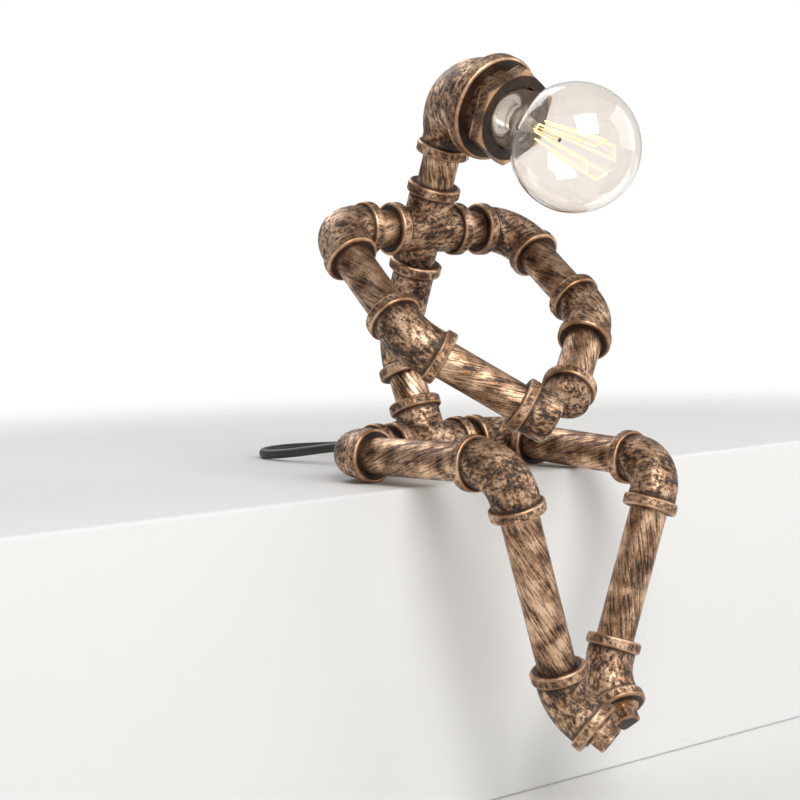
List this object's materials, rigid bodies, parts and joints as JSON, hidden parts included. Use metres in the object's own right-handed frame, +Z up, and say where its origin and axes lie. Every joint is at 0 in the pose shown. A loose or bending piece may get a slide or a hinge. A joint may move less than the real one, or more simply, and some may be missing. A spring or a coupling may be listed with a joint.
{
  "type": "desk lamp",
  "caption": "Seated figure desk lamp built from screwed pipe fittings, with pipe limbs that swivel at the joints and a bare globe bulb for a head.",
  "frame": {"origin": "on the seat plane, straight below the middle of the pelvis tee", "axes": "+Z up, the figure faces -Y, the hip line is along X, its right side is at -X"},
  "size_m": [0.257, 0.3416, 0.3796],
  "materials": {
    "fitting": "antique bronze paint over rough casting, rubbed bright on the beads",
    "pipe": "antique bronze paint with slanting dry brush streaks",
    "bushing": "antique bronze paint, edges rubbed bright",
    "toe_plug": "antique bronze paint, square head rubbed bright",
    "gland": "black, smooth",
    "cord": "black sheathed flex, satin",
    "switch": "black, satin",
    "rocker": "black, satin",
    "plug": "black, satin",
    "pins": "nickel-plated brass, bright",
    "porcelain": "dark moulded lamp holder",
    "contacts": "bright",
    "cap": "rolled screw thread, bright",
    "glass": "clear",
    "stem": "clear pressed glass",
    "filament": "thin wire, lit, warm white"
  },
  "bodies": {
    "pelvis": {"pelvis_tee": "fitting", "cord_gland": "gland", "waist_pipe": "pipe", "spine_bend": "fitting", "hip_nipple_near": "pipe", "hip_nipple_far": "pipe", "cord_lead": "cord", "switch_base": "switch", "switch_cover": "switch", "cord_link": "cord", "cord_coil": "cord", "cord_tail": "cord", "plug_body": "plug", "plug_pin_a": "pins", "plug_pin_b": "pins"},
    "rocker": {"switch_rocker": "rocker"},
    "chest": {"chest_cross": "fitting", "neck_pipe": "pipe", "shoulder_nipple_near": "pipe", "shoulder_nipple_far": "pipe"},
    "head": {"head_elbow": "fitting", "hex_bushing": "bushing", "lamp_holder": "porcelain", "holder_sleeve": "contacts", "holder_contact": "contacts"},
    "bulb": {"bulb_cap": "cap", "bulb_contact": "contacts", "bulb_glass": "glass", "bulb_stem": "stem", "bulb_filament": "filament"},
    "thigh_near": {"hip_elbow_near": "fitting", "thigh_pipe_near": "pipe"},
    "shin_near": {"knee_elbow_near": "fitting", "shin_pipe_near": "pipe"},
    "foot_near": {"ankle_elbow_near": "fitting", "toe_plug_near": "toe_plug"},
    "upper_arm_near": {"shoulder_elbow_near": "fitting", "upper_arm_pipe_near": "pipe"},
    "forearm_near": {"arm_elbow_near": "fitting", "forearm_pipe_near": "pipe", "hand_cap_near": "fitting"},
    "thigh_far": {"hip_elbow_far": "fitting", "thigh_pipe_far": "pipe"},
    "shin_far": {"knee_elbow_far": "fitting", "shin_pipe_far": "pipe"},
    "foot_far": {"ankle_elbow_far": "fitting", "toe_plug_far": "toe_plug"},
    "upper_arm_far": {"shoulder_elbow_far": "fitting", "upper_arm_pipe_far": "pipe"},
    "forearm_far": {"arm_elbow_far": "fitting", "forearm_pipe_far": "pipe", "hand_cap_far": "fitting"}
  },
  "joints": [
    {"name": "chest_turn", "type": "hinge", "parent": "pelvis", "child": "chest", "pos_m": [-0.00111, 0.0029, 0.12457], "axis": [-0.021, -0.3969, 0.9176], "range_deg": [-6, 6]},
    {"name": "head_turn", "type": "hinge", "parent": "chest", "child": "head", "pos_m": [-0.0025, -0.0233, 0.18513], "axis": [-0.021, -0.3969, 0.9176], "range_deg": [-60, 60]},
    {"name": "bulb_turn", "type": "hinge", "parent": "head", "child": "bulb", "pos_m": [-0.00302, -0.06071, 0.21144], "axis": [0.0122, -0.9179, -0.3967], "range_deg": [-10, 350]},
    {"name": "rocker_tilt", "type": "hinge", "parent": "pelvis", "child": "rocker", "pos_m": [0.063, 0.1065, 0.0082], "axis": [1, 0, 0], "range_deg": [-16, 0]},
    {"name": "hip_near", "type": "hinge", "parent": "pelvis", "child": "thigh_near", "pos_m": [-0.0355, 0, 0.0155], "axis": [-1, 0, 0], "range_deg": [-20, 4]},
    {"name": "knee_near", "type": "hinge", "parent": "thigh_near", "child": "shin_near", "pos_m": [-0.0635, -0.105, 0.0155], "axis": [0, -1, 0], "range_deg": [-25, 0]},
    {"name": "ankle_near", "type": "hinge", "parent": "shin_near", "child": "foot_near", "pos_m": [-0.02959, -0.133, -0.09543], "axis": [0.2924, 0, -0.9563], "range_deg": [-30, 15]},
    {"name": "shoulder_near", "type": "hinge", "parent": "chest", "child": "upper_arm_near", "pos_m": [-0.04033, -0.00225, 0.14346], "axis": [-0.9972, 0.0739, 0.0092], "range_deg": [0, 20]},
    {"name": "elbow_near", "type": "hinge", "parent": "upper_arm_near", "child": "forearm_near", "pos_m": [-0.07275, -0.05493, 0.09595], "axis": [-0.0618, -0.7521, -0.6562], "range_deg": [-15, 10]},
    {"name": "hip_far", "type": "hinge", "parent": "pelvis", "child": "thigh_far", "pos_m": [0.0355, 0, 0.0155], "axis": [1, 0, 0], "range_deg": [-12, 20]},
    {"name": "knee_far", "type": "hinge", "parent": "thigh_far", "child": "shin_far", "pos_m": [0.0635, -0.09976, 0.00852], "axis": [0, -0.9976, -0.0698], "range_deg": [0, 25]},
    {"name": "ankle_far", "type": "hinge", "parent": "shin_far", "child": "foot_far", "pos_m": [0.02945, -0.12098, -0.08934], "axis": [-0.3338, 0.0658, -0.9403], "range_deg": [-15, 30]},
    {"name": "shoulder_far", "type": "hinge", "parent": "chest", "child": "upper_arm_far", "pos_m": [0.03726, -0.008, 0.14275], "axis": [0.9972, -0.0739, -0.0092], "range_deg": [-20, 0]},
    {"name": "elbow_far", "type": "hinge", "parent": "upper_arm_far", "child": "forearm_far", "pos_m": [0.06092, -0.06247, 0.10243], "axis": [-0.0644, -0.7928, -0.6061], "range_deg": [-10, 15]}
  ]
}
